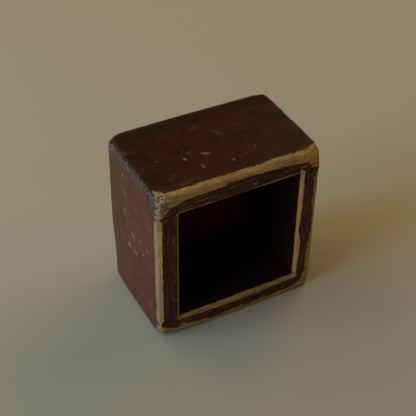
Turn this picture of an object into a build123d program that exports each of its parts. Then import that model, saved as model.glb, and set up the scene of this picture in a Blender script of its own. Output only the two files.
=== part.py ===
"""Small square wooden box, open at the front, with finger-jointed walls.

Four solid wood walls meet in finger joints at the corners. A solid back panel is glued and nailed over
their rear edges with steel brads, and the outside is rounded over after assembly. The box stands on its
lower wall with the opening towards -Y. Millimetres, +Z up, origin at the centre of the footprint.
"""

import os

from build123d import *

# Driving dimensions
SIDE = 75.0  # outside width and height of the square front
WALL = 10.0  # thickness of the four walls
FINGER = 7.8  # width of one finger, measured front to back
FINGER_COUNT = 5  # finger places along each corner
PANEL = 11.0  # thickness of the back panel
EDGE_ROUND = 2.3  # outer edges, except round the back
BACK_ROUND = 6.0  # outer edges round the back
MOUTH_ROUND = 1.4  # inner edges of the opening

BRAD_RADIUS = 0.6
BRAD_HEAD_RADIUS = 1.1
BRAD_HEAD = 0.5  # thickness of a brad's head, which is flush with the panel
BRAD_LENGTH = 18.0
BRAD_POINT = 1.8  # length of a brad's conical point
BRAD_INSET = 7.3  # from the outer faces of the box to a brad's axis

# Sizes that follow from them
WALL_DEPTH = FINGER * FINGER_COUNT
DEPTH = WALL_DEPTH + PANEL
CAVITY = SIDE - 2 * WALL
FRONT = -DEPTH / 2
BACK = DEPTH / 2
PANEL_FRONT = BACK - PANEL
CENTRE_Z = SIDE / 2
END_OFFSET = (SIDE - WALL) / 2  # from the box's axis to the middle of a wall

# Counted from the front, the even places belong to the upper and lower walls, the odd ones to the sides
LEVEL_PLACES = range(0, FINGER_COUNT, 2)
UPRIGHT_PLACES = range(1, FINGER_COUNT, 2)


def place_y(index):
    """The middle of a finger place, counted from the front."""
    return FRONT + FINGER * (index + 0.5)


# The whole box as one rounded shape, which gives every board its worn outline
with BuildPart() as outline:
    with Locations((0, 0, CENTRE_Z)):
        Box(SIDE, DEPTH, SIDE)
    back_edges = outline.faces().sort_by(Axis.Y)[-1].edges()
    fillet(back_edges, BACK_ROUND)
    front_edges = outline.faces().sort_by(Axis.Y)[0].edges()
    long_edges = outline.edges().filter_by(Axis.Y)
    fillet(front_edges + long_edges, EDGE_ROUND)
    with BuildSketch(Plane.XZ.offset(-FRONT)):
        with Locations((0, CENTRE_Z)):
            Rectangle(CAVITY, CAVITY)
    extrude(amount=-WALL_DEPTH, mode=Mode.SUBTRACT)
    mouth_edges = outline.faces().sort_by(Axis.Y)[0].inner_wires()[0].edges()
    fillet(mouth_edges, MOUTH_ROUND)

# Steel brads, driven through the panel into the middle of each wall and at each corner
BRAD_REACH = SIDE / 2 - BRAD_INSET
brad_spots = [
    (x * BRAD_REACH, BACK, CENTRE_Z + z * BRAD_REACH)
    for x in (-1, 0, 1)
    for z in (-1, 0, 1)
    if (x, z) != (0, 0)
]
with BuildPart() as brads:
    with BuildSketch(Plane.XY) as brad_profile:
        with BuildLine():
            Polyline(
                (0, 0),
                (BRAD_HEAD_RADIUS, 0),
                (BRAD_HEAD_RADIUS, -BRAD_HEAD),
                (BRAD_RADIUS, -BRAD_HEAD),
                (BRAD_RADIUS, BRAD_POINT - BRAD_LENGTH),
                (0, -BRAD_LENGTH),
                close=True,
            )
        make_face()
    brad = revolve(axis=Axis.Y, mode=Mode.PRIVATE)
    with Locations(brad_spots):
        add(brad)


# The upper and lower walls run the full width, with pockets for the side walls' fingers
def level_board(height):
    """The upper or lower wall, whose middle is at the given height."""
    with BuildPart() as board:
        with Locations((0, FRONT + WALL_DEPTH / 2, height)):
            Box(SIDE, WALL_DEPTH, WALL)
        with Locations([(s * END_OFFSET, place_y(i), height) for s in (-1, 1) for i in UPRIGHT_PLACES]):
            Box(WALL, FINGER, WALL, mode=Mode.SUBTRACT)
        add(outline.part, mode=Mode.INTERSECT)
        add(brads.part, mode=Mode.SUBTRACT)
    return board


# The side walls run the full height, with pockets for the upper and lower walls' fingers
def upright_board(across):
    """The left or right wall, whose middle is at the given place across the box."""
    with BuildPart() as board:
        with Locations((across, FRONT + WALL_DEPTH / 2, CENTRE_Z)):
            Box(WALL, WALL_DEPTH, SIDE)
        ends = (CENTRE_Z - END_OFFSET, CENTRE_Z + END_OFFSET)
        with Locations([(across, place_y(i), z) for z in ends for i in LEVEL_PLACES]):
            Box(WALL, FINGER, WALL, mode=Mode.SUBTRACT)
        add(outline.part, mode=Mode.INTERSECT)
        add(brads.part, mode=Mode.SUBTRACT)
    return board


top_board = level_board(CENTRE_Z + END_OFFSET)
bottom_board = level_board(CENTRE_Z - END_OFFSET)
left_board = upright_board(-END_OFFSET)
right_board = upright_board(END_OFFSET)

# The back panel covers the walls' rear edges
with BuildPart() as back_panel:
    with Locations((0, PANEL_FRONT + PANEL / 2, CENTRE_Z)):
        Box(SIDE, PANEL, SIDE)
    add(outline.part, mode=Mode.INTERSECT)
    add(brads.part, mode=Mode.SUBTRACT)

pieces = {
    "top_board": top_board,
    "bottom_board": bottom_board,
    "left_board": left_board,
    "right_board": right_board,
    "back_panel": back_panel,
    "panel_brads": brads,
}
os.makedirs("parts", exist_ok=True)
for name, piece in pieces.items():
    piece.part.label = name
    export_step(piece.part, f"parts/{name}.step")
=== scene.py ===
"""The looks of the small open wooden box: painted boards with worn edges, nail heads, light and camera.

Each board is a closed mesh on a fine lattice that follows the frame's finger joints. Its outer edges are
rounded, then worn inwards, and each point carries how far the paint is worn through there. Lengths are in
millimetres, except for the floor and the lamps, which are in metres.
"""

import math
from types import SimpleNamespace

import bpy
import numpy as np
from mathutils import Matrix, Vector


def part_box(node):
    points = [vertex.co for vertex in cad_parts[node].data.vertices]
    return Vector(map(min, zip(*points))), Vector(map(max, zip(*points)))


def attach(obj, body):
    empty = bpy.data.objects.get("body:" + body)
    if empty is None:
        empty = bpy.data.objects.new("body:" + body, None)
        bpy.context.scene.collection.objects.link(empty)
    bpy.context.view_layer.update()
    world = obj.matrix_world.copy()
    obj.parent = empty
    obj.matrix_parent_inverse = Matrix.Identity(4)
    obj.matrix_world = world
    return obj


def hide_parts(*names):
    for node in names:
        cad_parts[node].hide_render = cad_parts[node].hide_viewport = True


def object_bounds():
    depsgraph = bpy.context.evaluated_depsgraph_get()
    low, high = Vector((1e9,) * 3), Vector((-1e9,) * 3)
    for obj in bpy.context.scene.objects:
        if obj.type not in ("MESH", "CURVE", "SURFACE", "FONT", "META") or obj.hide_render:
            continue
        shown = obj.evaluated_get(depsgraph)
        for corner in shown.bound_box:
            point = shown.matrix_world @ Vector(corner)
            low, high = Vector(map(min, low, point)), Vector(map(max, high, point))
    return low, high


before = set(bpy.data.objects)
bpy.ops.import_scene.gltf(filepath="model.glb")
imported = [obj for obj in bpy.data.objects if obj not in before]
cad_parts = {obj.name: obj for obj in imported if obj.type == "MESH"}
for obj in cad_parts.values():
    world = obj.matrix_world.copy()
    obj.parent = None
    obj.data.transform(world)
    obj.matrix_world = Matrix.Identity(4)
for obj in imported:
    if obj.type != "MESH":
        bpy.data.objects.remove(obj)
cad_low, cad_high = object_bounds()

MM = 0.001


def frame_box(node):
    """The lowest and highest corners of a CAD node, in millimetres."""
    return [np.array(corner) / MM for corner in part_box(node)]


# Places taken from the frame
LEFT, FRONT, BOTTOM = np.array(cad_low) / MM
RIGHT, BACK, TOP = np.array(cad_high) / MM
top_low, top_high = frame_box("top_board")
_, left_high = frame_box("left_board")
PANEL_FRONT = top_high[1]
MOUTH_TOP = top_low[2]
MOUTH_LEFT = left_high[0]
MOUTH_RIGHT = -MOUTH_LEFT
MOUTH_BOTTOM = BOTTOM + TOP - MOUTH_TOP
FINGER_COUNT = 5
FINGER = (PANEL_FRONT - FRONT) / FINGER_COUNT
MIDDLE_Z = (BOTTOM + TOP) / 2

# Rounding of the edges. The level rear edges are rounded further in than they are high.
EDGE_ROUND = 2.3
BACK_ROUND = 6.0
BACK_ROUND_HIGH = 3.8
MOUTH_ROUND = 1.4

# What wear adds to that rounding. A pair gives it for each of the edge's two faces: the side and the back
# for an upright edge, the back and the bottom for a level one.
UPRIGHT_RIGHT_FRONT = 0.6
UPRIGHT_REAR_LEFT = (2.6, 1.2)
UPRIGHT_LOW_REAR_LEFT = (3.6, 2.4)
LEVEL_LOW_LEFT = 2.4
LEVEL_LOW_LEFT_REAR = 1.6
LEVEL_LOW_LEFT_BACK = (1.5, 2.5)
LEVEL_TOP_FRONT = 0.9
LEVEL_TOP_LEFT = -0.5
LEVEL_BOTTOM_FRONT = -1.5

# The lattice that the boards are made on
COARSE_STEP = 0.6
FINE_STEP = 0.32
FINE_REACH = 3.4
SEAM_HALF = 0.14

SHARP_ANGLE = math.radians(40)

# The axes that the boards' grain runs along
ALONG_X, ALONG_Z = 0, 2

# Nails through the back panel, one at each corner and one at the middle of each side
NAIL_INSET = 7.3
NAIL_REACH = RIGHT - NAIL_INSET
NAIL_SPOTS = [
    (i * NAIL_REACH, BACK, MIDDLE_Z + k * NAIL_REACH)
    for i in (-1, 0, 1)
    for k in (-1, 0, 1)
    if (i, k) != (0, 0)
]
NAIL_HEAD_RADIUS = 1.1
NAIL_HEAD = 0.5
NAIL_HEAD_FLAT = 0.75  # the share of the head's radius inside its bevel
NAIL_HEAD_BEVEL = 0.12
NAIL_RADIUS = 0.6
NAIL_LENGTH = 18.0
NAIL_POINT = 1.8
NAIL_SIDES = 24
NAIL_PROUD = 0.06  # the most that a head stands out of the worn panel
NAIL_FIT = 1.4  # how far round a nail the panel's surface is looked at


# ---------------------------------------------------------------- noise and curves


def noise(points, size, seed):
    """Smooth random values from -1 to 1 with features about size millimetres across."""
    rng = np.random.default_rng(seed)
    hashed = rng.permutation(256)
    values = rng.uniform(-1, 1, 256)
    place = points / np.asarray(size, float)
    cell = np.floor(place).astype(int)
    part = place - cell
    part = part * part * (3 - 2 * part)
    total = np.zeros(len(points))
    for corner in np.ndindex(2, 2, 2):
        c = (cell + corner) & 255
        key = hashed[(hashed[(hashed[c[:, 0]] + c[:, 1]) & 255] + c[:, 2]) & 255]
        weight = np.where(np.array(corner, bool), part, 1 - part)
        total += values[key] * weight.prod(axis=1)
    return total


def layered_noise(points, size, seed, layers=3):
    """Noise with finer and weaker noise on top of it."""
    size = np.asarray(size, float)
    total = sum(noise(points, size / 2**i, seed + i) / 2**i for i in range(layers))
    return total / (2 - 0.5 ** (layers - 1))


def step_up(value, low, high):
    """0 below low, 1 above high, and smooth between them."""
    t = np.clip((value - low) / (high - low), 0, 1)
    return t * t * (3 - 2 * t)


def near(points, place, reach):
    """1 at a place, falling smoothly towards 0 past reach millimetres from it."""
    return np.exp(-(((points - np.array(place)) ** 2).sum(axis=1)) / reach**2)


# ---------------------------------------------------------------- the lattice


def lattice_stops(start, end, breaks=(), fine=()):
    """Lattice coordinates from start to end, closer together round the fine places and at the breaks."""
    stops = {start, end}
    for b in breaks:
        stops.update((b - SEAM_HALF, b, b + SEAM_HALF))
    for f in fine:
        stops.update((f - FINE_REACH, f + FINE_REACH))
    stops = sorted(round(s, 4) for s in stops if start <= s <= end)
    found = [stops[0]]
    for low, high in zip(stops, stops[1:]):
        middle = (low + high) / 2
        step = FINE_STEP if any(abs(middle - f) < FINE_REACH for f in fine) else COARSE_STEP
        count = max(1, math.ceil((high - low) / step - 1e-6))
        found.extend(np.linspace(low, high, count + 1)[1:])
    return np.array(found)


def part_of(coordinates, low, high):
    return coordinates[(coordinates > low - 1e-6) & (coordinates < high + 1e-6)]


def middles(coordinates):
    return (coordinates[:-1] + coordinates[1:]) / 2


def place_index(y):
    """Which finger place a depth belongs to, counted from the front."""
    return np.floor((y - FRONT) / FINGER).astype(int)


def in_box(x, y, z):
    inside = (x > LEFT) & (x < RIGHT) & (y > FRONT) & (y < BACK) & (z > BOTTOM) & (z < TOP)
    cavity = (abs(x) < MOUTH_RIGHT) & (z > MOUTH_BOTTOM) & (z < MOUTH_TOP) & (y < PANEL_FRONT)
    return inside & ~cavity


def in_level_board(x, y, z):
    pockets = (abs(x) > MOUTH_RIGHT) & (place_index(y) % 2 == 1)
    return in_box(x, y, z) & (y < PANEL_FRONT) & ~pockets


def in_upright_board(x, y, z):
    pockets = ((z > MOUTH_TOP) | (z < MOUTH_BOTTOM)) & (place_index(y) % 2 == 0)
    return in_box(x, y, z) & (y < PANEL_FRONT) & ~pockets


def in_panel(x, y, z):
    return in_box(x, y, z) & (y > PANEL_FRONT)


def lattice_shell(xs, ys, zs, belongs):
    """The surface of the lattice cells that belong to a board.

    Returns its points, its quads and, for each quad, whether it is open to the air rather than glued to
    another board.
    """
    x, y, z = np.meshgrid(middles(xs), middles(ys), middles(zs), indexing="ij")
    filled = np.pad(belongs(x, y, z), 1)
    far = 1.0
    centres = [np.concatenate(([c[0] - far], middles(c), [c[-1] + far])) for c in (xs, ys, zs)]
    wood = in_box(*np.meshgrid(*centres, indexing="ij"))
    shape = (len(xs), len(ys), len(zs))
    corner_index = np.arange(np.prod(shape)).reshape(shape)
    quads, open_to_air = [], []
    for axis in range(3):
        below = [slice(1, -1)] * 3
        above = [slice(1, -1)] * 3
        below[axis] = slice(0, -1)
        above[axis] = slice(1, None)
        lower, upper = filled[tuple(below)], filled[tuple(above)]
        side_axes = [a for a in range(3) if a != axis]
        for outward in (1, -1):
            found = (lower & ~upper) if outward == 1 else (upper & ~lower)
            outside = wood[tuple(above)] if outward == 1 else wood[tuple(below)]
            at = np.argwhere(found)
            steps = [np.zeros(3, int) for _ in range(4)]
            steps[1][side_axes[0]] = 1
            steps[2][side_axes] = 1
            steps[3][side_axes[1]] = 1
            corners = np.stack([corner_index[tuple((at + s).T)] for s in steps], axis=1)
            turned = (outward == 1) == (axis == 1)
            quads.append(corners[:, ::-1] if turned else corners)
            open_to_air.append(~outside[found])
    quads = np.concatenate(quads)
    used, quads = np.unique(quads, return_inverse=True)
    points = np.stack([c[i] for c, i in zip((xs, ys, zs), np.unravel_index(used, shape))], axis=1)
    return points, quads.reshape(-1, 4), np.concatenate(open_to_air)


# ---------------------------------------------------------------- rounding and wear

TOP_RIGHT_CORNER = (RIGHT, FRONT, TOP)
TOP_LEFT_CORNER = (LEFT, FRONT, TOP)
BOTTOM_RIGHT_CORNER = (RIGHT, FRONT, BOTTOM)
BOTTOM_LEFT_CORNER = (LEFT, FRONT, BOTTOM)

# Each corner with its extra rounding and how far that reaches
WORN_CORNERS = [
    (TOP_RIGHT_CORNER, 1.9, 6),
    (TOP_LEFT_CORNER, 0.8, 5),
    (BOTTOM_RIGHT_CORNER, 1.2, 7),
    (BOTTOM_LEFT_CORNER, 0.8, 6),
    ((LEFT, BACK, TOP), 2.2, 9),
]


def soften(gaps, radii):
    """How far to pull a point in from two faces that meet, so that their edge turns round."""
    excess = np.maximum(1 - gaps / np.maximum(radii, 1e-6), 0)
    length = np.linalg.norm(excess, axis=1)
    shrink = 1 - excess.max(axis=1) / np.maximum(length, 1e-9)
    return radii * excess * shrink[:, None], excess / np.maximum(length, 1e-9)[:, None]


def round_outside(p):
    """Rounds the upright outer edges, then the top and bottom edges that run round the box."""
    x, y, z = p.T
    side, depth = RIGHT - abs(x), np.minimum(y - FRONT, BACK - y)
    height = np.minimum(z - BOTTOM, TOP - z)
    out_x, out_y, out_z = np.sign(x), np.sign(y - (FRONT + BACK) / 2), np.sign(z - MIDDLE_Z)
    upper, lower = step_up(z - MIDDLE_Z, 0, 25), step_up(MIDDLE_Z - z, 0, 25)
    rear = step_up(y, PANEL_FRONT - 10, BACK - BACK_ROUND)
    rear_left = step_up(-x, 10, RIGHT)
    low_left = step_up(-x, 0, RIGHT) * lower
    worn = sum(amount * near(p, corner, reach) for corner, amount, reach in WORN_CORNERS)

    front_round = EDGE_ROUND + worn + UPRIGHT_RIGHT_FRONT * step_up(x, 0, RIGHT)
    upright = np.stack([
        front_round + rear * (BACK_ROUND + rear_extra * rear_left + low_extra * low_left - front_round)
        for rear_extra, low_extra in zip(UPRIGHT_REAR_LEFT, UPRIGHT_LOW_REAR_LEFT)
    ], axis=1)
    pull, facing = soften(np.stack([side, depth], axis=1), upright)
    moved = p - np.stack([out_x * pull[:, 0], out_y * pull[:, 1], 0 * z], axis=1)

    # Which way each point faces after that, so that the level edges follow the rounded uprights
    flat = facing.sum(axis=1) == 0
    facing_x = np.where(flat, side < depth, facing[:, 0])
    facing_y = np.where(flat, side >= depth, facing[:, 1])
    to_rear = step_up(facing_y * (out_y > 0), 0.3, 0.95)
    to_front = step_up(facing_y * (out_y < 0), 0.3, 0.95)
    to_left = step_up(facing_x * (out_x < 0), 0.3, 0.95)
    level_edge = EDGE_ROUND + worn + (LEVEL_LOW_LEFT + LEVEL_LOW_LEFT_REAR * rear) * low_left
    level_edge += LEVEL_TOP_FRONT * to_front * upper + LEVEL_TOP_LEFT * to_left * upper
    level_edge += LEVEL_BOTTOM_FRONT * to_front * lower * step_up(x - LEFT, 2, 14)
    level = np.stack([
        level_edge + to_rear * np.maximum(rear_round + extra * low_left - level_edge, 0)
        for rear_round, extra in zip((BACK_ROUND, BACK_ROUND_HIGH), LEVEL_LOW_LEFT_BACK)
    ], axis=1)
    pull, _ = soften(np.stack([np.minimum(side, depth), height], axis=1), level)
    sideways, up = pull.T
    return moved - np.stack([out_x * facing_x * sideways, out_y * facing_y * sideways, out_z * up], axis=1)


def round_mouth(p, upright):
    """Rounds the inner edges of the opening."""
    x, y, z = p.T
    across, along = (x, z - MIDDLE_Z) if upright else (z - MIDDLE_Z, x)
    fade = 1 - np.clip(abs(along) - MOUTH_RIGHT, 0, MOUTH_ROUND) / MOUTH_ROUND
    radii = np.repeat((MOUTH_ROUND * fade)[:, None], 2, axis=1)
    pull, _ = soften(np.stack([abs(across) - MOUTH_RIGHT, y - FRONT], axis=1), radii)
    moved = p.copy()
    moved[:, 0 if upright else 2] += np.sign(across) * pull[:, 0]
    moved[:, 1] += pull[:, 1]
    return moved


def band(first_gap, second_gap, first_width, second_width, rounding):
    """How far inside a worn band along an edge a point lies, negative outside it.

    The gaps are the distances from the edge's two faces, and the widths are how far the band reaches over
    the first and the second face from the sharp edge line.
    """
    across = second_gap - first_gap
    inside = np.minimum(first_width - across, second_width + across)
    return inside - np.maximum(np.minimum(first_gap, second_gap) - 0.3 * rounding, 0)


def along_edge(place, points):
    """A width that changes along an edge, through (place, width) pairs."""
    places, widths = zip(*points)
    return np.interp(place, places, widths)


# How far bare wood reaches over a face from the line of an edge, as (place along the edge, width) pairs.
# Places run from the left on level edges and down from the top on upright ones.
TOP_EDGE_ON_FRONT = [
    (0, 9.2), (2.6, 9.2), (4.4, 7.2), (6, 5.8), (12, 3.7), (22, 3.2), (29.5, 3.2), (30.5, 2.1),
    (38, 2.1), (48, 2.7), (58, 3.5), (65, 4.3), (68.5, 5.4), (70, 8.0), (75, 8.4),
]
TOP_EDGE_ON_TOP = [
    (0, 8), (2.5, 6.5), (5.5, 4.0), (9, 3.1), (28, 3.2), (45, 2.6), (53, 3.3), (68, 2.8), (75, 6.0),
]
LEFT_EDGE = [
    (5, 2.0), (8.2, 2.2), (9.6, 0.9), (10.2, 2.0), (12, 2.4), (64, 2.3), (66, 0.6), (70, 0.5), (75, 3.0),
]
RIGHT_EDGE = [
    (8, 4.5), (9.5, 0.8), (12, 3.4), (23, 3.8), (33, 2.8), (44, 3.0), (50, 3.9), (64, 4.3), (75, 7),
]
BOTTOM_EDGE = [
    (0, 7.2), (3, 7.0), (5, 5.6), (9, 4.2), (12, 5.4), (15, 3.9), (23, 3.0), (45, 2.7), (57, 2.9),
    (65, 3.3), (70, 5.4), (75, 7.0),
]
MOUTH_TOP_EDGE = [(10, 1.2), (28, 1.15), (32, 0.75), (40, 0.7), (45, 1.3), (57, 1.7), (64, 1.3)]
MOUTH_BOTTOM_EDGE = [(9, 0.5), (12, 1.7), (20, 2.4), (32, 2.8), (45, 2.8), (55, 2.3), (64, 1.9)]
MOUTH_LEFT_WIDTH = 1.15
MOUTH_RIGHT_EDGE = [
    (9, 1.6), (25, 1.8), (36, 1.3), (39, 0.7), (41, 0.7), (43.5, 1.7), (47, 2.4), (54, 2.2), (60, 1.5),
]


def front_edge_wear(p, wave, ripple):
    """Bands along the outer front edges, the most handled ones."""
    x, y, z = p.T
    left, right, front = x - LEFT, RIGHT - x, y - FRONT
    bottom, top = z - BOTTOM, TOP - z
    on_front = along_edge(left, TOP_EDGE_ON_FRONT) + 0.35 * ripple
    on_top = along_edge(left, TOP_EDGE_ON_TOP) + 0.35 * ripple
    by_left = along_edge(top, LEFT_EDGE)
    by_right = along_edge(top, RIGHT_EDGE) + 0.9 * ripple + 0.5 * wave
    by_bottom = along_edge(left, BOTTOM_EDGE) + 1.2 * ripple + 0.5 * wave
    return [
        band(front, top, on_front, on_top, EDGE_ROUND),
        band(front, left, by_left + 0.08 * ripple, by_left + 0.1 + 0.15 * ripple, EDGE_ROUND),
        band(front, right, by_right, 2.0 + 1.2 * wave, EDGE_ROUND),
        band(front, bottom, by_bottom, 2.0 + wave, EDGE_ROUND),
    ]


def mouth_wear(p, ripple):
    """Bands along the edges of the mouth, which end just past its corners."""
    x, y, z = p.T
    left, front, top = x - LEFT, y - FRONT, TOP - z
    beside = np.maximum(abs(x) - MOUTH_RIGHT - 1.0, 0)
    above = np.maximum(abs(z - MIDDLE_Z) - MOUTH_RIGHT - 1.0, 0)
    by_right = along_edge(top, MOUTH_RIGHT_EDGE) + 0.3 * ripple
    by_bottom = along_edge(left, MOUTH_BOTTOM_EDGE) + 0.5 * ripple
    by_top = along_edge(left, MOUTH_TOP_EDGE) + 0.7 * ripple
    return [
        band(front, MOUTH_LEFT - x, MOUTH_LEFT_WIDTH + 0.12 * ripple, 0.6, MOUTH_ROUND) - above,
        band(front, x - MOUTH_RIGHT, by_right, 1.7 + 0.3 * ripple, MOUTH_ROUND) - above,
        band(front, MOUTH_BOTTOM - z, by_bottom, 0.8 + 0.2 * ripple, MOUTH_ROUND) - beside,
        band(front, z - MOUTH_TOP, by_top, 0.4 + 0.7 * ripple, MOUTH_ROUND) - beside,
    ]


def nicks(p, wave, ripple):
    """Nicks along the long and rear edges, and the bare wood beside the two upper front corners."""
    x, y, z = p.T
    left, right, back = x - LEFT, RIGHT - x, BACK - y
    bottom, top = z - BOTTOM, TOP - z
    nicked = 1.6 * wave + 1.1 * ripple - 1.0
    by_left = nicked + 3.2 * near(p, TOP_LEFT_CORNER, 5.5)
    by_right = nicked + 4.0 * near(p, TOP_RIGHT_CORNER, 6.5)
    by_bottom = nicked + 0.9
    worn = [
        band(top, left, by_left, by_left, EDGE_ROUND),
        band(top, right, by_right, by_right, EDGE_ROUND),
        band(bottom, left, by_bottom, by_bottom, EDGE_ROUND),
        band(bottom, right, by_bottom, by_bottom, EDGE_ROUND),
    ]
    for side, extra in ((left, 0.0), (right, 0.7), (top, 0.0), (bottom, 0.7)):
        by_rear = nicked - 0.2 + extra
        worn.append(band(back, side, by_rear, by_rear, BACK_ROUND))
    return worn


def wear_bands(p):
    """How far each point lies inside the worn bands, in millimetres, and how ragged the band is there."""
    x, y, z = p.T
    left, front, top = x - LEFT, y - FRONT, TOP - z
    wave = layered_noise(p, 5.0, 11)
    ripple = layered_noise(p, 1.6, 12)
    bands = front_edge_wear(p, wave, ripple) + mouth_wear(p, ripple) + nicks(p, wave, ripple)
    bare = np.max(bands, axis=0)

    # The left face keeps its paint, except beside the front edge
    on_left_face = step_up(1.5 - left, 0.0, 0.8)
    bare = bare + on_left_face * (np.minimum(bare, 2.5 - front + 0.5 * ripple) - bare)

    # The upper left corner is bruised down to its joint
    bruise = np.maximum(near(p, TOP_LEFT_CORNER, 7), 0.8 * near(p, (LEFT, FRONT, MOUTH_TOP + 2.5), 3.5))
    bare = bare - bruise * (0.2 + 1.6 * layered_noise(p, 1.1, 13))
    kept_clean = np.maximum(near(p, TOP_RIGHT_CORNER, 14), np.exp(-(((x - MOUTH_RIGHT) / 3) ** 2)))
    ragged = 0.5 + 0.9 * bruise + 0.2 * step_up(top, 60, 72) - 0.2 * kept_clean
    return np.clip(bare, -4, 4), ragged


def rubbing_and_glint(p):
    """How hard each point near an edge has been rubbed, with a painted glint, and how much dirt lies beside
    it.

    Both are 0 on plain faces and about 1 where they are strongest.
    """
    x, y, z = p.T
    left, right, back = x - LEFT, RIGHT - x, BACK - y
    bottom, top = z - BOTTOM, TOP - z
    soft = 0.6 + 0.6 * layered_noise(p, 4.0, 21)

    # Each edge's two gaps, how hard it is rubbed and how far that reaches
    edges = [(back, side, 0.4, 2.4) for side in (left, right, top, bottom)]
    edges += [(top, left, 1.5, 1.5), (bottom, left, 0.7, 2.4)]
    edges += [(top, right, 0.6, 1.6), (bottom, right, 0.6, 1.6)]
    amounts = [hard * np.exp(-(((first + second) / reach) ** 2)) for first, second, hard, reach in edges]
    amount = np.clip(np.max(amounts, axis=0) * soft, 0, 1.0)

    # Dirt gathers on the top's side of the left edge, where less of it is rubbed away
    over_the_top = step_up(left - top, -0.2, 0.6) * (left < 4)
    grimy = amount * (0.6 + 0.6 * over_the_top)
    # Painted highlight: more rubbing and glint at the upper left front corner and near the upper left rear
    # corner
    amount += 0.3 * near(p, TOP_LEFT_CORNER, 6) + 0.5 * near(p, (LEFT, BACK - 7, TOP - 2), 3.5)
    return amount * (1 - 0.5 * over_the_top), grimy


# ---------------------------------------------------------------- boards

# How deep each kind of wear is. Where it is uneven, the deepest places are twice as deep.
UNEVEN_DEPTH = 0.05
REAR_RIGHT_DEPTH = 0.45
WORN_DEPTH = 0.10
TORN_DEPTH = 0.16
PITTED_DEPTH = 0.10
BRUISED_DEPTH = 0.40
RUBBED_DEPTH = 0.08
SEAM_DEPTH = 0.02
NAIL_HOLLOW = 0.22
DENT_COUNT = 60
DENT_DEPTHS = (0.05, 0.2)
DENT_RADII = (0.7, 1.8)


def dents(p):
    """Shallow dents from years of knocks, scattered over the whole outside."""
    rng = np.random.default_rng(5)
    low, high = np.array([LEFT, FRONT, BOTTOM]), np.array([RIGHT, BACK, TOP])
    depth = np.zeros(len(p))
    for _ in range(DENT_COUNT):
        place = rng.uniform(low, high)
        axis = rng.integers(3)
        place[axis] = (low if rng.random() < 0.5 else high)[axis]
        depth = np.maximum(depth, rng.uniform(*DENT_DEPTHS) * near(p, place, rng.uniform(*DENT_RADII)))
    return depth


def hollowing(p, normals, sunk, bare, rubbed_and_glint, seam):
    """How far each open point lies below the rounded outline, in millimetres."""
    worn = step_up(bare, -0.3, 1.0)
    to_rear_right = step_up(p[:, 1], PANEL_FRONT, BACK) * step_up(p[:, 0], -10, RIGHT)
    uneven = 1 + layered_noise(p, 14, 31)
    torn = 1 + layered_noise(p, (3.0, 2.0, 3.0), 32)
    depth = UNEVEN_DEPTH * uneven + (normals**2 * np.array(sunk)).sum(axis=1)
    depth += REAR_RIGHT_DEPTH * to_rear_right
    depth += worn * (WORN_DEPTH + TORN_DEPTH * torn)
    depth += worn * PITTED_DEPTH * (1 + layered_noise(p, 1.1, 35))
    depth += near(p, TOP_LEFT_CORNER, 7) * BRUISED_DEPTH * (1 + layered_noise(p, 1.0, 33))
    depth += rubbed_and_glint * RUBBED_DEPTH * (1 + layered_noise(p, 0.9, 34))
    depth += dents(p)
    depth += np.where(seam, SEAM_DEPTH, 0.0)
    for spot in NAIL_SPOTS:
        depth += NAIL_HOLLOW * near(p, spot, 1.7)
    return depth


def open_normals(points, quads, is_open):
    """The outward direction at each point, from the quads open to the air alone."""
    corners = points[quads[is_open]]
    normal = np.cross(corners[:, 2] - corners[:, 0], corners[:, 3] - corners[:, 1])
    total = np.zeros_like(points)
    for i in range(4):
        np.add.at(total, quads[is_open][:, i], normal)
    return total / np.maximum(np.linalg.norm(total, axis=1), 1e-9)[:, None]


def make_mesh(name, points, quads, values):
    """A mesh from millimetre points, with one named value per point for each entry of values."""
    mesh = bpy.data.meshes.new(name)
    mesh.from_pydata((points * MM).tolist(), [], quads.tolist())
    for label, amounts in values.items():
        layer = mesh.attributes.new(label, "FLOAT", "POINT")
        layer.data.foreach_set("value", amounts.astype(np.float32))
    mesh.polygons.foreach_set("use_smooth", np.ones(len(quads), bool))
    return mesh


def make_board(node, belongs, xs, ys, zs, grain_axis, sunk, upright=None):
    """One board of the box, rounded and worn, ready for its material."""
    points, quads, is_open = lattice_shell(xs, ys, zs, belongs)
    if upright is not None:
        points = round_mouth(points, upright)
    points = round_outside(points)
    bare, ragged = wear_bands(points)
    touches_air = np.zeros(len(points), bool)
    touches_air[quads[is_open]] = True
    touches_glue = np.zeros(len(points), bool)
    touches_glue[quads[~is_open]] = True
    normals = open_normals(points, quads, is_open)
    seam = touches_air & touches_glue
    rubbed_and_glint, grimy = rubbing_and_glint(points)
    depth = hollowing(points, normals, sunk, bare, rubbed_and_glint, seam)
    points = points - normals * (depth * touches_air)[:, None]
    x, y, z = points.T
    inside = (abs(x) < MOUTH_RIGHT + 1) & (abs(z - MIDDLE_Z) < MOUTH_RIGHT + 1) & (y > FRONT + 0.9)
    to_left, to_front = step_up(-normals[:, 0], 0.4, 0.9), step_up(-normals[:, 1], 0.5, 0.9)
    from_arris = np.minimum(z - BOTTOM, TOP - z) if grain_axis == ALONG_X else 0 * z
    on_end = step_up(abs(normals[:, grain_axis]), 0.55, 0.85)
    values = {
        "bare": bare,
        "ragged": ragged,
        # Rubbing, which also carries the painted glint
        "rubbed_and_glint": rubbed_and_glint,
        "grimy": grimy,
        "seam": seam.astype(float),
        "end_grain": on_end * (1 - 0.75 * step_up(from_arris, 3.5, 10)),
        # Painted light as well as fading: lighter redder paint on faces turned left and forward, and a
        # little on the inner faces that look forward
        "faded_and_lit": np.maximum(to_left * ~inside, to_front * np.where(inside, 0.3, 0.7)),
        "handled": to_front * ~inside,
        # Weathering as well as painted window light: greyer bare wood on the left board's faces turned left
        "weathered_and_lit": to_left * (x < MOUTH_LEFT),
    }
    mesh = make_mesh(node, points, quads, values)
    mesh.set_sharp_from_angle(angle=SHARP_ANGLE)
    board = bpy.data.objects.new(node + "_painted", mesh)
    bpy.context.scene.collection.objects.link(board)
    return board


# ---------------------------------------------------------------- materials

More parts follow.
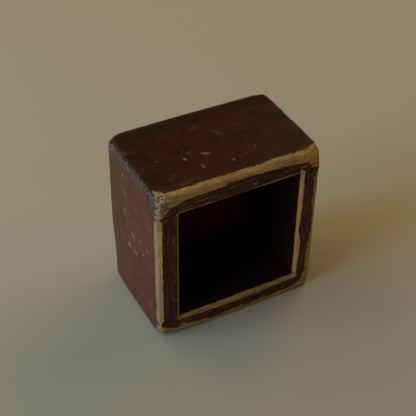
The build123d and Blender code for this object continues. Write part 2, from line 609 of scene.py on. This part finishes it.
PAINT_DEEP = (0.024, 0.0062, 0.0022, 1)
PAINT_WARM = (0.052, 0.0120, 0.0030, 1)
# Lighter redder paint of faded faces, also painted light on faces turned left and forward
PAINT_FADED_AND_LIT = (0.132, 0.0220, 0.0095, 1)
PAINT_THIN = (0.105, 0.0380, 0.0130, 1)
PAINT_OVER_ENDS = (0.0195, 0.0058, 0.0034, 1)
DUSTY_END = (0.047, 0.036, 0.034, 1)
WOOD_PALE = (0.69, 0.440, 0.135, 1)
WOOD_GOLD = (0.48, 0.272, 0.066, 1)
WOOD_DARK = (0.115, 0.062, 0.024, 1)
WOOD_GREY = (0.255, 0.195, 0.120, 1)
# Greyer bare wood, weathered and also painted window light
WEATHERED_AND_LIT = (0.36, 0.230, 0.130, 1)
WOOD_CREAM = (0.80, 0.640, 0.390, 1)
WOOD_CLEAN = (0.80, 0.425, 0.118, 1)
CHIPPED = (0.29, 0.165, 0.065, 1)
SCUFF = (0.23, 0.115, 0.065, 1)
PAINT_STREAK = (0.26, 0.120, 0.034, 1)
# Grey of the rubbed edges, also a painted glint on them
RUB_AND_GLINT = (0.30, 0.29, 0.30, 1)
# Dark colour of grime, seams and smudges, also of the painted shade inside the cavity
GRIME_AND_SHADE = (0.014, 0.010, 0.009, 1)
RUST = (0.10, 0.062, 0.04, 1)
WOOD_ROUGHNESS = 0.7
PAINT_THICKNESS = 0.09

# How far off its face a mark still shows, and how strongly the places it is drawn from are pushed about,
# which makes its outline ragged
MARK_REACH = 3.0
MARK_WOBBLE = 2.6


class Graph:
    """A short way to write a material's nodes. Inputs may be numbers, colours or other nodes' outputs."""

    def __init__(self, name):
        self.material = bpy.data.materials.new(name)
        self.material.use_nodes = True
        self.nodes = self.material.node_tree.nodes
        self.links = self.material.node_tree.links
        self.shader = self.nodes["Principled BSDF"]

    def put(self, socket, value):
        if isinstance(value, bpy.types.NodeSocket):
            self.links.new(value, socket)
        else:
            socket.default_value = value

    def node(self, kind, inputs, output=0, **settings):
        made = self.nodes.new(kind)
        for key, value in settings.items():
            setattr(made, key, value)
        for key, value in inputs.items():
            self.put(made.inputs[key], value)
        return made.outputs[output]

    def math(self, operation, *values):
        return self.node("ShaderNodeMath", dict(enumerate(values)), operation=operation)

    def attribute(self, name):
        return self.node("ShaderNodeAttribute", {}, "Fac", attribute_name=name)

    def stretched(self, vector, scale):
        return self.node("ShaderNodeMapping", {"Vector": vector, "Scale": scale})

    def noise(self, vector, scale, detail, roughness, distortion=0.0):
        inputs = {"Vector": vector, "Scale": scale, "Detail": detail, "Roughness": roughness}
        return self.node("ShaderNodeTexNoise", {**inputs, "Distortion": distortion})

    def between(self, value, low, high, to_low=0.0, to_high=1.0):
        inputs = {"Value": value, "From Min": low, "From Max": high, "To Min": to_low, "To Max": to_high}
        return self.node("ShaderNodeMapRange", inputs, interpolation_type="SMOOTHSTEP")

    def mix(self, amount, first, second):
        return self.node("ShaderNodeMix", {0: amount, 6: first, 7: second}, 2, data_type="RGBA")

    def bump(self, height, strength=1.0):
        """Height is in millimetres."""
        return self.node("ShaderNodeBump", {"Height": height, "Distance": MM, "Strength": strength})

    def spot(self, place, centre, length, width, turn, face_axis):
        """1 at the centre of an oval mark on a face, 0 on its outline and negative outside it."""
        side = [Vector((0, 1, 0)), Vector((1, 0, 0)), Vector((1, 0, 0))][face_axis]
        normal = Vector([float(axis == face_axis) for axis in range(3)])
        along = Matrix.Rotation(math.radians(turn), 3, normal) @ side
        frame_of_mark = Matrix((along, normal.cross(along), normal)).transposed()
        inputs = {
            "Vector": place,
            "Location": centre,
            "Rotation": frame_of_mark.to_euler(),
            "Scale": (length / 2, width / 2, MARK_REACH),
        }
        local = self.node("ShaderNodeMapping", inputs, vector_type="TEXTURE")
        far = self.node("ShaderNodeVectorMath", {0: local}, "Value", operation="LENGTH")
        return self.math("SUBTRACT", 1.0, far)


def squeezed(axis, amount):
    """Scales that draw a pattern out along one axis."""
    scales = [1.0] * 3
    scales[axis] = amount
    return scales


def wood_patterns(g, grain_axis, seed):
    """What a board's paint and bare wood share: its places in millimetres, noises and the mesh's values."""
    place = g.node("ShaderNodeTexCoord", {}, "Object")
    place = g.node("ShaderNodeVectorMath", {0: place, "Scale": 1 / MM}, operation="SCALE")
    shifted = g.node("ShaderNodeVectorMath", {0: place, 1: (seed * 37.0,) * 3}, operation="ADD")
    grain = g.stretched(shifted, squeezed(grain_axis, 0.07))
    splintery = g.stretched(shifted, squeezed(grain_axis, 0.35))
    wobble = g.node("ShaderNodeTexNoise", {"Vector": shifted, "Scale": 1.1, "Detail": 4.0}, "Color")
    wobble = g.node("ShaderNodeVectorMath", {0: wobble, 1: (0.5,) * 3}, operation="SUBTRACT")
    pushed = {0: wobble, 1: (MARK_WOBBLE,) * 3, 2: place}
    return SimpleNamespace(
        wobbly_place=g.node("ShaderNodeVectorMath", pushed, operation="MULTIPLY_ADD"),
        fibres=g.noise(grain, 2.2, 4, 0.6, 0.25),
        fine_fibres=g.noise(grain, 6.0, 2, 0.5),
        streaks=g.noise(grain, 0.9, 3, 0.6),
        splinters=g.noise(splintery, 1.5, 4, 0.68),
        mottle=g.noise(shifted, 0.13, 5, 0.62),
        patches=g.noise(shifted, 0.5, 4, 0.62),
        speckle=g.noise(shifted, 2.2, 3, 0.62),
        flecks=g.noise(shifted, 1.2, 3, 0.7),
        pores=g.noise(shifted, 4.5, 2, 0.6),
        end_grain=g.attribute("end_grain"),
        ragged=g.attribute("ragged"),
        faded_and_lit=g.attribute("faded_and_lit"),
        handled=g.attribute("handled"),
    )


def bare_wood(g, look, stains):
    """Pale fibres, darker and speckled on end grain, with dirt rubbed in at the bruised places."""
    wood = g.mix(g.between(look.fibres, 0.36, 0.60), WOOD_GOLD, WOOD_PALE)
    wood = g.mix(g.between(look.fine_fibres, 0.52, 0.66, 0.0, 0.5), wood, WOOD_DARK)
    wood = g.mix(g.between(look.pores, 0.58, 0.70, 0.0, 0.4), wood, WOOD_DARK)
    wood = g.mix(g.between(look.streaks, 0.53, 0.64, 0.0, 0.6), wood, WOOD_DARK)
    wood = g.mix(g.between(look.patches, 0.52, 0.66, 0.0, 0.25), wood, WOOD_GREY)
    wood = g.mix(g.between(look.ragged, 0.3, 0.45, 0.52, 0.0), wood, WOOD_CLEAN)
    end_wood = g.mix(g.between(look.pores, 0.42, 0.60), WOOD_DARK, WOOD_GREY)
    wood = g.mix(g.math("MULTIPLY", look.end_grain, 0.6), wood, end_wood)
    # Weathering as well as painted window light: greyer bare wood on the left board's faces turned left
    wood = g.mix(g.math("MULTIPLY", g.attribute("weathered_and_lit"), 0.5), wood, WEATHERED_AND_LIT)
    bruised = g.between(look.ragged, 0.8, 1.3)
    bruised = g.math("MULTIPLY", bruised, g.between(look.patches, 0.4, 0.6, 0.3, 0.9))
    wood = g.mix(bruised, wood, WOOD_CREAM)
    for stain in stains:
        wood = g.mix(g.between(g.spot(look.wobbly_place, *stain), 0.0, 0.6, 0.0, 0.45), wood, WOOD_GREY)
    dirt = g.between(look.ragged, 0.5, 1.2, 0.15, 0.95)
    dirt = g.math("MULTIPLY", dirt, g.between(look.speckle, 0.47, 0.55))
    return g.mix(dirt, wood, GRIME_AND_SHADE)


def aged_paint(g, look, near_bare, end_paint):
    """Mottled paint, thin along some fibres, darker beside bare wood, over end grain and at the seams."""
    # Painted light as well as fading: faces turned left and forward take the lighter redder paint
    sunned_and_lit = g.math("MULTIPLY", look.faded_and_lit, 0.68)
    sunned_and_lit = g.math("MAXIMUM", g.between(look.mottle, 0.36, 0.60, 0.25, 1.0), sunned_and_lit)
    paint = g.mix(sunned_and_lit, PAINT_DEEP, g.mix(look.faded_and_lit, PAINT_WARM, PAINT_FADED_AND_LIT))
    unfaded_and_unlit = g.between(look.faded_and_lit, 0.0, 1.0, 1.0, 0.5)
    darker = g.math("MULTIPLY", g.between(look.patches, 0.52, 0.68, 0.0, 0.45), unfaded_and_unlit)
    paint = g.mix(darker, paint, PAINT_DEEP)
    paint = g.mix(g.between(look.streaks, 0.57, 0.72, 0.0, 0.30), paint, PAINT_THIN)
    dark_fibres = g.math("MULTIPLY", look.handled, g.between(look.fibres, 0.40, 0.50, 0.75, 0.0))
    paint = g.mix(dark_fibres, paint, PAINT_DEEP)
    pale_fibres = g.math("MULTIPLY", look.handled, g.between(look.fibres, 0.54, 0.66, 0.0, 0.95))
    paint = g.mix(pale_fibres, paint, PAINT_STREAK)
    paint = g.mix(g.math("MULTIPLY", near_bare, 0.5), paint, PAINT_DEEP)
    over_ends = g.math("MULTIPLY", look.end_grain, g.between(look.patches, 0.40, 0.56, 0.3, 0.9))
    paint = g.mix(over_ends, paint, end_paint)
    seam = g.math("MULTIPLY", g.attribute("seam"), g.between(look.patches, 0.40, 0.56, 0.1, 0.75))
    paint = g.mix(seam, paint, GRIME_AND_SHADE)
    return g.mix(g.between(look.speckle, 0.66, 0.76, 0.0, 0.22), paint, SCUFF)


def soil_shade_and_glint(g, look, paint, smudges_and_shade):
    """Adds smudges and painted shade, then the dirt and the rubbing with its painted glint along the edges.
    """
    unfaded_and_unlit = g.between(look.faded_and_lit, 0.0, 1.0, 1.0, 0.3)
    smudge_and_shade_strength = g.math("MULTIPLY", g.between(look.patches, 0.38, 0.55, 0.35, 0.9), unfaded_and_unlit)
    # Painted shade: the marks on the cavity's inner faces darken them; the others are smudges
    for dark_mark in smudges_and_shade:
        mark = g.between(g.spot(look.wobbly_place, *dark_mark), 0.0, 0.6)
        paint = g.mix(g.math("MULTIPLY", mark, smudge_and_shade_strength), paint, GRIME_AND_SHADE)
    grimy = g.math("MULTIPLY", g.attribute("grimy"), g.between(look.flecks, 0.48, 0.55, 1.5, 0.1))
    paint = g.mix(grimy, paint, GRIME_AND_SHADE)
    # Painted highlight: grey specks where the edges are rubbed, for the glints there as well as the wear
    rubbed_and_glint = g.math("MULTIPLY", g.attribute("rubbed_and_glint"), g.between(look.flecks, 0.52, 0.60, 0.10, 1.2))
    return g.mix(rubbed_and_glint, paint, RUB_AND_GLINT)


def painted_wood(name, grain_axis, seed, end_paint, chips=(), scuffs=(), smudges_and_shade=(), stains=()):
    """Old red-brown paint over pale wood, worn through where the mesh's bare value says so.

    Chips, scuffs, smudges and painted shade in the paint and stains in the bare wood are listed marks:
    (centre, length, width, turn in degrees, axis of the face).
    """
    g = Graph(name)
    look = wood_patterns(g, grain_axis, seed)

    # Where the wood is bare, with a ragged outline, where only chips have come off and where paint is thin
    torn = g.math("ADD", g.math("SUBTRACT", look.splinters, 0.5), g.math("SUBTRACT", look.speckle, 0.5))
    bare_depth = g.math("MULTIPLY_ADD", torn, g.math("MULTIPLY", look.ragged, 2.8), g.attribute("bare"))
    bare = g.between(bare_depth, -0.05, 0.08)
    near_bare = g.between(bare_depth, -0.7, 0.0)
    chipped = 0.0
    for chip in chips:
        chipped = g.math("MAXIMUM", chipped, g.between(g.spot(look.wobbly_place, *chip), 0.0, 0.22))
    worn_thin = g.math("MULTIPLY", g.between(look.patches, 0.5, 0.66), 0.05)
    for scuff in scuffs:
        mark = g.between(g.spot(look.wobbly_place, *scuff), 0.0, 0.9)
        mark = g.math("MULTIPLY", mark, g.between(look.speckle, 0.48, 0.60, 0.05, 0.65))
        worn_thin = g.math("MAXIMUM", worn_thin, mark)

    paint = aged_paint(g, look, near_bare, end_paint)
    paint = g.mix(worn_thin, paint, SCUFF)
    paint = soil_shade_and_glint(g, look, paint, smudges_and_shade)
    paint = g.mix(chipped, paint, CHIPPED)
    g.put(g.shader.inputs["Base Color"], g.mix(bare, paint, bare_wood(g, look, stains)))

    paint_rough = g.between(look.patches, 0.3, 0.7, 0.30, 0.43)
    paint_rough = g.math("MULTIPLY_ADD", worn_thin, 0.3, paint_rough)
    roughness = g.node("ShaderNodeMix", {0: bare, 2: paint_rough, 3: WOOD_ROUGHNESS})
    g.put(g.shader.inputs["Roughness"], roughness)
    g.put(g.shader.inputs["Specular IOR Level"], g.between(look.handled, 0.0, 1.0, 0.24, 0.17))

    # Relief: the paint's thickness, the fibres under it and its uneven surface
    relief = g.math("SUBTRACT", 1.0, g.math("MAXIMUM", bare, chipped))
    relief = g.math("MULTIPLY", relief, PAINT_THICKNESS)
    relief = g.math("MULTIPLY_ADD", look.fibres, g.between(bare, 0.0, 1.0, 0.06, 0.22), relief)
    relief = g.math("MULTIPLY_ADD", look.speckle, g.between(look.ragged, 0.4, 1.2, 0.05, 0.3), relief)
    relief = g.math("MULTIPLY_ADD", look.patches, 0.09, relief)
    relief = g.math("MULTIPLY_ADD", g.math("MULTIPLY", look.end_grain, look.pores), 0.03, relief)
    g.put(g.shader.inputs["Normal"], g.bump(relief, 0.8))
    return g.material


def nail_steel():
    """Nail heads with most of their paint left, rusty where it has gone."""
    g = Graph("nail_steel")
    place = g.node("ShaderNodeTexCoord", {}, "Object")
    rust = g.noise(place, 900, 4, 0.6)
    bare = g.between(rust, 0.52, 0.60)
    g.put(g.shader.inputs["Base Color"], g.mix(bare, PAINT_DEEP, RUST))
    g.put(g.shader.inputs["Roughness"], g.between(rust, 0.3, 0.7, 0.4, 0.62))
    g.put(g.shader.inputs["Metallic"], g.between(rust, 0.60, 0.68, 0.0, 0.8))
    g.put(g.shader.inputs["Normal"], g.bump(g.math("MULTIPLY", rust, 0.06)))
    return g.material


# Listed marks: centre, length, width, turn in degrees and the axis that the face looks along. Those on the
# back panel's outside and on the right board's outer face, which are turned away, are made up to match.
X_FACE, Y_FACE, Z_FACE = 0, 1, 2
TOP_CHIPS = [
    ((-15.5, -6.3, TOP), 2.6, 0.9, -62, Z_FACE),
    ((-6.6, -6.5, TOP), 4.6, 1.3, -30, Z_FACE),
    ((-11.3, -13.2, TOP), 2.8, 1.1, -85, Z_FACE),
    ((1.4, -15.0, TOP), 2.3, 0.7, 68, Z_FACE),
    ((13.5, -10.8, TOP), 1.5, 0.5, 50, Z_FACE),
    ((8.1, -13.4, TOP), 1.7, 0.35, 28, Z_FACE),
    ((-26.3, -2.6, TOP), 0.8, 0.6, 0, Z_FACE),
    ((5.8, FRONT, 68.2), 2.6, 0.8, -4, Y_FACE),
    ((28.3, FRONT, 68.6), 3.8, 1.0, 4, Y_FACE),
]
TOP_SCUFFS = [
    ((-22.0, -19.5, TOP), 13.0, 4.5, 8, Z_FACE),
    ((4.5, 4.0, TOP), 3.0, 9.0, 20, Z_FACE),
    ((-3.0, 11.0, TOP), 8.0, 2.5, 10, Z_FACE),
    ((-12.0, -3.0, TOP), 5.0, 3.0, 30, Z_FACE),
    ((-35.0, 8.0, TOP), 3.0, 9.0, 0, Z_FACE),
    ((-30.5, 2.5, TOP), 8.0, 0.7, -12, Z_FACE),
    ((-31.5, 0.0, TOP), 6.0, 0.6, -16, Z_FACE),
    ((-25.0, -14.0, TOP), 9.0, 3.0, 40, Z_FACE),
]
TOP_STAINS = [
    ((-7.6, FRONT, 74.0), 5.5, 5.0, 0, Y_FACE),
    ((-33.5, FRONT, 70.0), 3.0, 5.0, 0, Y_FACE),
]
TOP_SMUDGES = [
    ((1.0, 1.0, TOP), 5.5, 10.0, 0, Z_FACE),
    ((2.5, -8.5, TOP), 7.0, 3.4, -20, Z_FACE),
    ((16.0, -3.0, TOP), 7.0, 3.0, -15, Z_FACE),
    ((-29.5, 11.5, TOP), 3.0, 2.2, 0, Z_FACE),
    ((-27.5, -3.5, TOP), 2.6, 2.0, 0, Z_FACE),
    ((14.0, FRONT, 67.5), 64.0, 12.0, 0, Y_FACE),
]
BOTTOM_SMUDGES_AND_SHADE = [
    ((14.0, FRONT, 4.5), 56.0, 12.0, 0, Y_FACE),
    # Painted shade: the cavity's floor is darkened
    ((0.0, -8.0, MOUTH_BOTTOM), 80.0, 60.0, 0, Z_FACE),
]
LEFT_CHIPS = [
    ((LEFT, 6.0, 67.0), 3.4, 1.9, 25, X_FACE),
    ((LEFT, 4.0, 59.0), 2.2, 1.3, 40, X_FACE),
    ((LEFT, 5.0, 49.0), 2.6, 1.3, 30, X_FACE),
    ((LEFT, -2.0, 41.0), 2.9, 1.5, 20, X_FACE),
    ((LEFT, 2.0, 33.0), 3.6, 2.0, 10, X_FACE),
    ((LEFT, -4.2, 33.6), 3.0, 1.9, 20, X_FACE),
    ((LEFT, -9.0, 43.0), 2.0, 1.1, 30, X_FACE),
    ((LEFT, -12.0, 38.0), 2.0, 1.3, 60, X_FACE),
    ((LEFT, -16.0, 43.0), 2.4, 1.3, 30, X_FACE),
    ((LEFT, -13.5, 29.0), 1.6, 1.0, 80, X_FACE),
    ((LEFT, -19.0, 57.0), 1.8, 0.8, 80, X_FACE),
    ((LEFT, -17.0, 15.0), 1.8, 0.9, 60, X_FACE),
    ((LEFT, -9.0, 14.0), 1.7, 1.0, 30, X_FACE),
    ((-34.6, FRONT, 56.5), 1.9, 0.5, 0, Y_FACE),
    ((-30.2, FRONT, 53.0), 3.6, 0.4, 86, Y_FACE),
    ((-30.0, FRONT, 20.5), 2.2, 0.6, 10, Y_FACE),
]
LEFT_SCUFFS = [
    ((LEFT, -2.0, 40.5), 7.0, 4.0, 50, X_FACE),
    ((LEFT, -0.5, 33.0), 10.0, 4.5, 10, X_FACE),
    ((LEFT, -11.0, 40.0), 9.0, 5.0, 60, X_FACE),
    ((LEFT, 5.0, 50.0), 7.0, 3.0, 20, X_FACE),
    ((LEFT, 4.0, 55.5), 3.5, 2.6, 20, X_FACE),
    ((LEFT, -20.0, 57.0), 4.0, 1.6, 45, X_FACE),
    ((LEFT, -17.0, 15.0), 4.0, 1.5, 45, X_FACE),
    ((LEFT, -8.0, 14.0), 5.0, 2.5, 30, X_FACE),
    ((-31.0, FRONT, 29.0), 3.0, 1.6, 30, Y_FACE),
    ((-30.5, FRONT, 52.0), 2.2, 12.0, 0, Y_FACE),
    ((-30.3, FRONT, 24.0), 2.0, 18.0, 0, Y_FACE),
]
LEFT_SMUDGES = [
    ((LEFT, -19.0, 7.0), 14.0, 14.0, 0, X_FACE),
    ((LEFT, -4.0, 8.0), 10.0, 7.0, 20, X_FACE),
    ((LEFT, 7.0, 46.0), 8.0, 16.0, 0, X_FACE),
    ((LEFT, -10.0, 52.0), 9.0, 7.0, 30, X_FACE),
]
LEFT_STAINS = [
    ((-36.4, FRONT, 25.0), 26.0, 4.0, 90, Y_FACE),
    ((-36.4, FRONT, 60.0), 4.0, 3.0, 90, Y_FACE),
]
RIGHT_CHIPS = [
    ((32.6, FRONT, 58.5), 1.6, 0.6, 75, Y_FACE),
    ((33.4, FRONT, 47.0), 1.3, 0.5, 60, Y_FACE),
    ((31.5, FRONT, 30.0), 1.2, 0.4, 80, Y_FACE),
    ((RIGHT, -12.0, 57.0), 2.6, 1.0, 40, X_FACE),
    ((RIGHT, 3.0, 44.0), 1.8, 0.8, 70, X_FACE),
    ((RIGHT, -6.0, 22.0), 2.2, 0.9, 20, X_FACE),
    ((RIGHT, 8.0, 14.0), 1.4, 0.7, 60, X_FACE),
]
RIGHT_SCUFFS = [
    ((RIGHT, -4.0, 40.0), 10.0, 4.0, 50, X_FACE),
    ((RIGHT, -13.0, 20.0), 7.0, 3.0, 20, X_FACE),
    ((RIGHT, 4.0, 60.0), 6.0, 3.0, 70, X_FACE),
]
# Painted shade: the right board's inner face, inside the cavity, is darkened
RIGHT_INNER_SHADE = [((MOUTH_RIGHT, -8.0, MIDDLE_Z), 50.0, 80.0, 0, X_FACE)]
PANEL_CHIPS = [
    ((-20.0, BACK, 52.0), 2.8, 1.1, 30, Y_FACE),
    ((8.0, BACK, 61.0), 1.8, 0.8, 70, Y_FACE),
    ((24.0, BACK, 33.0), 2.2, 0.9, 10, Y_FACE),
    ((-9.0, BACK, 18.0), 1.6, 0.7, 50, Y_FACE),
    ((15.0, BACK, 12.0), 2.4, 0.9, -30, Y_FACE),
]
PANEL_SCUFFS = [
    ((-12.0, BACK, 40.0), 14.0, 5.0, 30, Y_FACE),
    ((14.0, BACK, 48.0), 9.0, 4.0, -20, Y_FACE),
    ((6.0, BACK, 22.0), 12.0, 4.0, 10, Y_FACE),
    ((-26.0, BACK, 20.0), 6.0, 3.0, 60, Y_FACE),
]
# Painted shade: the right part of the panel's inner face, inside the cavity, is darkened
PANEL_INNER_SHADE = [((26.0, PANEL_FRONT, 50.0), 34.0, 70.0, 0, Y_FACE)]


# ---------------------------------------------------------------- pieces


def finish_piece(piece, material, slot, *nodes):
    piece.data.materials.append(material)
    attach(piece, "root")
    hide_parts(*nodes)


# The lattice's coordinates for the whole box, then for each wall's own thickness
finger_planes = [FRONT + FINGER * i for i in range(1, FINGER_COUNT)]
wall_ys = lattice_stops(FRONT, PANEL_FRONT, finger_planes, fine=(FRONT,))
box_xs = lattice_stops(LEFT, RIGHT, (MOUTH_LEFT, MOUTH_RIGHT), fine=(LEFT, MOUTH_LEFT, MOUTH_RIGHT, RIGHT))
panel_ys = lattice_stops(PANEL_FRONT, BACK, fine=(BACK, BACK - FINE_REACH))
box_zs = lattice_stops(BOTTOM, TOP, (MOUTH_BOTTOM, MOUTH_TOP), fine=(BOTTOM, MOUTH_BOTTOM, MOUTH_TOP, TOP))
top_zs = part_of(box_zs, MOUTH_TOP, TOP)
bottom_zs = part_of(box_zs, BOTTOM, MOUTH_BOTTOM)
left_xs = part_of(box_xs, LEFT, MOUTH_LEFT)
right_xs = part_of(box_xs, MOUTH_RIGHT, RIGHT)

# How far each board's faces lie below the rounded outline, along X, Y and Z
LEVEL_SUNK = (0.05, 0.0, 0.0)
LEFT_SUNK = (0.0, 0.08, 0.06)
RIGHT_SUNK = (0.35, 0.08, 0.05)
PANEL_SUNK = (0.08, 0.0, 0.07)


top_places = (box_xs, wall_ys, top_zs)
top_board = make_board("top_board", in_level_board, *top_places, ALONG_X, LEVEL_SUNK, False)
top_marks = (TOP_CHIPS, TOP_SCUFFS, TOP_SMUDGES, TOP_STAINS)
top_paint = painted_wood("top_paint", ALONG_X, 1, DUSTY_END, *top_marks)
finish_piece(top_board, top_paint, "painted_long_wall", "top_board")

bottom_places = (box_xs, wall_ys, bottom_zs)
bottom_board = make_board("bottom_board", in_level_board, *bottom_places, ALONG_X, LEVEL_SUNK, False)
bottom_paint = painted_wood("bottom_paint", ALONG_X, 2, DUSTY_END, smudges_and_shade=BOTTOM_SMUDGES_AND_SHADE)
finish_piece(bottom_board, bottom_paint, "painted_long_wall", "bottom_board")

left_places = (left_xs, wall_ys, box_zs)
left_board = make_board("left_board", in_upright_board, *left_places, ALONG_Z, LEFT_SUNK, True)
left_marks = (LEFT_CHIPS, LEFT_SCUFFS, LEFT_SMUDGES, LEFT_STAINS)
left_paint = painted_wood("left_paint", ALONG_Z, 3, PAINT_OVER_ENDS, *left_marks)
finish_piece(left_board, left_paint, "painted_side_wall", "left_board")

right_places = (right_xs, wall_ys, box_zs)
right_board = make_board("right_board", in_upright_board, *right_places, ALONG_Z, RIGHT_SUNK, True)
right_marks = (RIGHT_CHIPS, RIGHT_SCUFFS, RIGHT_INNER_SHADE)
right_paint = painted_wood("right_paint", ALONG_Z, 4, PAINT_OVER_ENDS, *right_marks)
finish_piece(right_board, right_paint, "painted_side_wall", "right_board")

back_panel = make_board("back_panel", in_panel, box_xs, panel_ys, box_zs, ALONG_Z, PANEL_SUNK)
panel_marks = (PANEL_CHIPS, PANEL_SCUFFS, PANEL_INNER_SHADE)
panel_paint = painted_wood("panel_paint", ALONG_Z, 5, PAINT_OVER_ENDS, *panel_marks)
finish_piece(back_panel, panel_paint, "painted_panel", "back_panel")


def back_surface(board, x, z):
    """The y of the panel's worn back at one nail, and its slopes along x and z."""
    places = np.empty(3 * len(board.data.vertices), np.float32)
    board.data.vertices.foreach_get("co", places)
    places = places.reshape(-1, 3) / MM
    across, up = places[:, 0] - x, places[:, 2] - z
    close = (np.hypot(across, up) < NAIL_FIT) & (places[:, 1] > PANEL_FRONT + 1)
    plane = np.stack([np.ones(close.sum()), across[close], up[close]], axis=1)
    return np.linalg.lstsq(plane, places[close, 1], rcond=None)[0]


def make_nails():
    """Eight nails through the back panel, each a turned outline with its head flush with the worn panel."""
    outline = [
        (0.0, 0.0), (NAIL_HEAD_RADIUS * NAIL_HEAD_FLAT, 0.0), (NAIL_HEAD_RADIUS, NAIL_HEAD_BEVEL),
        (NAIL_HEAD_RADIUS, NAIL_HEAD), (NAIL_RADIUS, NAIL_HEAD), (NAIL_RADIUS, NAIL_LENGTH - NAIL_POINT),
        (0.0, NAIL_LENGTH),
    ]
    rng = np.random.default_rng(8)
    points, faces = [], []
    for x, _, z in NAIL_SPOTS:
        first = len(points)
        surface, slope_x, slope_z = back_surface(back_panel, x, z)
        below = rng.uniform(-NAIL_PROUD, 0.0)
        for radius, depth in outline:
            sides = NAIL_SIDES if radius else 1
            for i in range(sides):
                angle = 2 * math.pi * i / NAIL_SIDES
                across, up = radius * math.cos(angle), radius * math.sin(angle)
                y = surface + slope_x * across + slope_z * up - below - depth
                points.append((x + across, y, z + up))
        rings = [first] + [first + 1 + NAIL_SIDES * i for i in range(len(outline) - 1)]
        for i in range(NAIL_SIDES):
            j = (i + 1) % NAIL_SIDES
            faces.append((rings[0], rings[1] + j, rings[1] + i))
            for a, b in zip(rings[1:-2], rings[2:-1]):
                faces.append((a + i, a + j, b + j, b + i))
            faces.append((rings[-2] + i, rings[-2] + j, rings[-1]))
    mesh = bpy.data.meshes.new("panel_brads")
    mesh.from_pydata([tuple(c * MM for c in p) for p in points], [], faces)
    mesh.polygons.foreach_set("use_smooth", np.ones(len(faces), bool))
    mesh.set_sharp_from_angle(angle=SHARP_ANGLE)
    nails = bpy.data.objects.new("panel_nails", mesh)
    bpy.context.scene.collection.objects.link(nails)
    return nails


finish_piece(make_nails(), nail_steel(), "steel_brads", "panel_brads")


# ---------------------------------------------------------------- floor, light and camera

FLOOR_HALF = 3.0
FLOOR_ROUGHNESS = 0.6
FLOOR_NEAR_DIM = (0.46, 0.465, 0.375, 1)
FLOOR_FAR_LIT = (0.565, 0.545, 0.405, 1)

# The floor's colour, a painted light falloff, changes along this direction, between these distances from
# the origin
FLOOR_DIRECTION = (0.48, 0.88, 0)
FLOOR_CHANGE = (-0.09, 0.07)

# Lamps: name, place, target, width and height, watts and colour
LAMPS = [
    ("window", (-1.1, 0.02, 0.46), (0, 0, 0.03), (0.9, 0.85), 11.7, (0.54, 0.73, 1.0)),
    ("lamp", (-0.45, 0.6, 0.75), (0, 0.1, 0), (0.8, 0.6), 1.8, (1.0, 0.86, 0.52)),
    ("right_lamp", (0.75, 0.25, 0.75), (0, 0.1, 0), (0.8, 0.6), 2.6, (1.0, 0.70, 0.44)),
]
ROOM_COLOUR = (1.0, 0.63, 0.20, 1)
ROOM_STRENGTH = 0.1


def make_floor():
    """A plain pale floor, with painted light: a little lighter and warmer towards the back."""
    corners = [(i * FLOOR_HALF, j * FLOOR_HALF, 0) for i, j in ((-1, -1), (1, -1), (1, 1), (-1, 1))]
    mesh = bpy.data.meshes.new("floor")
    mesh.from_pydata(corners, [], [(0, 1, 2, 3)])
    floor = bpy.data.objects.new("floor", mesh)
    bpy.context.scene.collection.objects.link(floor)
    g = Graph("floor_pale")
    place = g.node("ShaderNodeTexCoord", {}, "Object")
    along = {0: place, 1: FLOOR_DIRECTION}
    backward = g.node("ShaderNodeVectorMath", along, "Value", operation="DOT_PRODUCT")
    g.put(g.shader.inputs["Base Color"], g.mix(g.between(backward, *FLOOR_CHANGE), FLOOR_NEAR_DIM, FLOOR_FAR_LIT))
    g.put(g.shader.inputs["Roughness"], FLOOR_ROUGHNESS)
    mesh.materials.append(g.material)


def soft_light(name, place, target, size, watts, colour):
    light = bpy.data.lights.new(name, "AREA")
    light.shape = "RECTANGLE"
    light.size, light.size_y = size
    light.energy = watts
    light.color = colour
    lamp = bpy.data.objects.new(name, light)
    bpy.context.scene.collection.objects.link(lamp)
    lamp.location = place
    aim = Vector(target) - Vector(place)
    lamp.rotation_euler = aim.to_track_quat("-Z", "Y").to_euler()


def make_room():
    """A dim warm glow from all round."""
    world = bpy.data.worlds.new("room")
    world.use_nodes = True
    glow = world.node_tree.nodes["Background"]
    glow.inputs["Color"].default_value = ROOM_COLOUR
    glow.inputs["Strength"].default_value = ROOM_STRENGTH
    bpy.context.scene.world = world


# The camera stands to the left of the front and above it, rolled a little. Angles are in degrees, and the
# target and the distance in millimetres.
CAMERA_AZIMUTH = -28.9
CAMERA_ELEVATION = 39.5
CAMERA_ROLL = 0.95
CAMERA_TARGET = (-2.9, -2.5, 42.7)
CAMERA_DISTANCE = 423.7
CAMERA_LENS = 87.5
CAMERA_CLIP = (0.01, 20)  # metres


def make_camera():
    camera = bpy.data.cameras.new("camera")
    camera.lens = CAMERA_LENS
    camera.clip_start, camera.clip_end = CAMERA_CLIP
    eye = bpy.data.objects.new("camera", camera)
    bpy.context.scene.collection.objects.link(eye)
    azimuth, elevation = math.radians(CAMERA_AZIMUTH), math.radians(CAMERA_ELEVATION)
    flat, rise = math.cos(elevation), math.sin(elevation)
    back = Vector((math.sin(azimuth) * flat, -math.cos(azimuth) * flat, rise))
    side = Vector((0, 0, 1)).cross(back).normalized()
    level = Matrix((side, back.cross(side), back)).transposed()
    turned = level @ Matrix.Rotation(math.radians(CAMERA_ROLL), 3, "Z")
    place = (Vector(CAMERA_TARGET) + back * CAMERA_DISTANCE) * MM
    eye.matrix_world = Matrix.Translation(place) @ turned.to_4x4()
    bpy.context.scene.camera = eye


make_floor()
for lamp_values in LAMPS:
    soft_light(*lamp_values)
make_room()
bpy.context.scene.view_settings.view_transform = "Standard"
make_camera()
